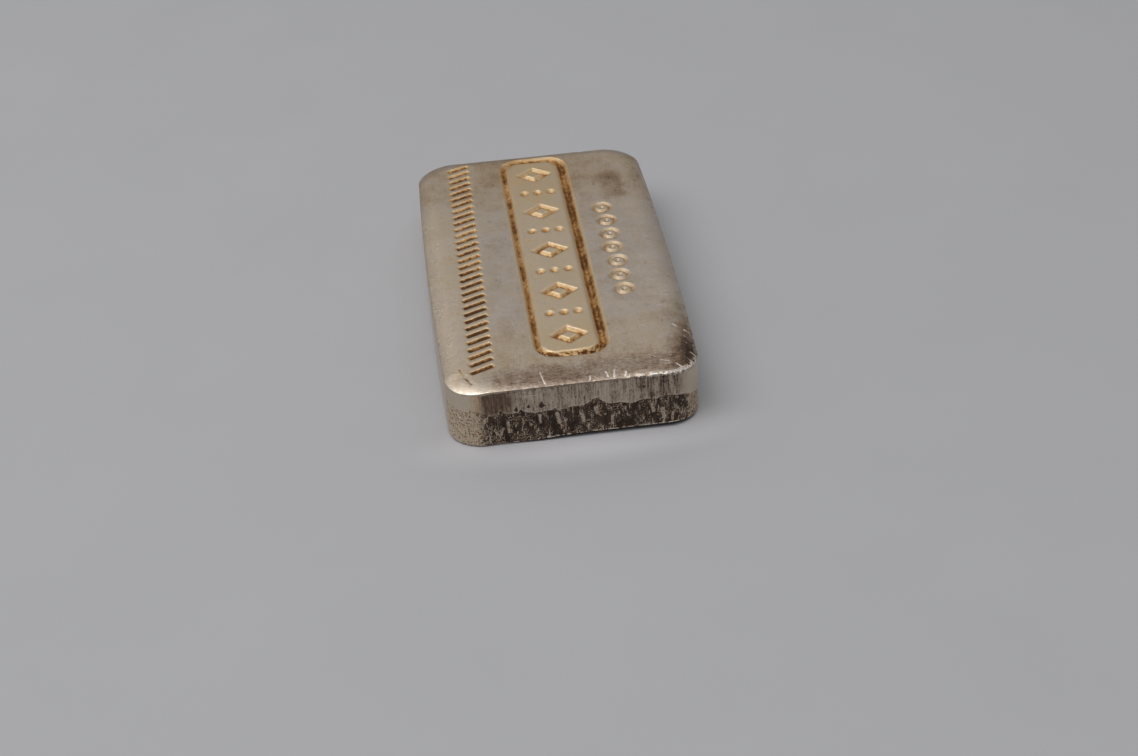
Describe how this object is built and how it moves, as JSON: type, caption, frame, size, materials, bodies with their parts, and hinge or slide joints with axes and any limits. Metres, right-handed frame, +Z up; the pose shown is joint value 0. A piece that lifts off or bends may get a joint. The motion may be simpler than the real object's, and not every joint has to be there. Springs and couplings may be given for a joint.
{
  "type": "silver bar",
  "caption": "Small cast and struck precious-metal bar: rounded block with bowed long sides, a rolled top edge, a struck round-ended frame and rows of struck marks.",
  "frame": {"origin": "on the underside, below the middle of the bar", "axes": "+X along the bar, +Y across it, +Z up through the struck face"},
  "size_m": [0.0706, 0.0404, 0.0107],
  "materials": {
    "silver": "worn satin silver with warm tarnish in the struck marks"
  },
  "bodies": {
    "root": {"silver_bar": "silver"}
  },
  "joints": []
}
